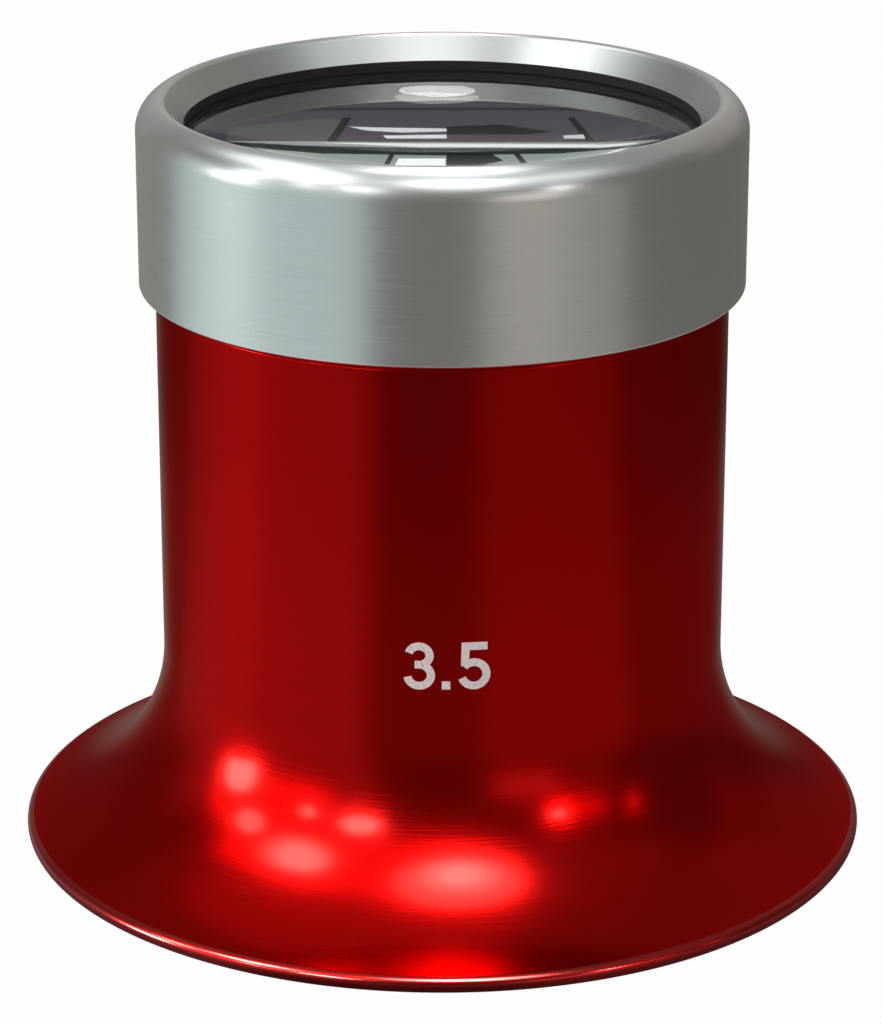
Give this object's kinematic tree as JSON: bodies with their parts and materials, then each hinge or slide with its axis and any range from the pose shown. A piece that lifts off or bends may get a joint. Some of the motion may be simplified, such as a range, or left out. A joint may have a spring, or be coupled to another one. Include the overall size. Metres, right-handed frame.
{
  "type": "inspection loupe",
  "caption": "Watchmaker's eye loupe: red anodised tube with a flared eye cup, and a satin screw ring that clamps a plano-convex glass lens, flat side out.",
  "frame": {"origin": "on the axis, in the plane that the eye cup's rim rests on", "axes": "+Z along the axis from the eye cup to the lens, -Y towards the printed number"},
  "size_m": [0.04, 0.04, 0.0355],
  "materials": {
    "anodised_red": "red anodised over fine turning marks, satin gloss, matt black inside",
    "washer_fibre": "matt black fibre",
    "lens_glass": "polished faces, ground edge",
    "natural_aluminium": "circular satin brushing, clear anodised",
    "white_print": "white printed number"
  },
  "bodies": {
    "tube": {"barrel": "anodised_red", "seat_washer": "washer_fibre"},
    "glass": {"lens": "lens_glass"},
    "ring": {"screw_ring": "natural_aluminium"}
  },
  "joints": [
    {"name": "ring_turn", "type": "hinge", "parent": "tube", "child": "glass", "pos_m": [0, 0, 0.0305], "axis": [0, 0, 1], "range_deg": [0, 1980]},
    {"name": "ring_rise", "type": "slide", "parent": "glass", "child": "ring", "axis": [0, 0, 1], "range_m": [0, 0.00413]}
  ],
  "couplings": [
    {"joint": "ring_rise", "follows": "ring_turn", "m_per_rad": 0.00011937}
  ]
}
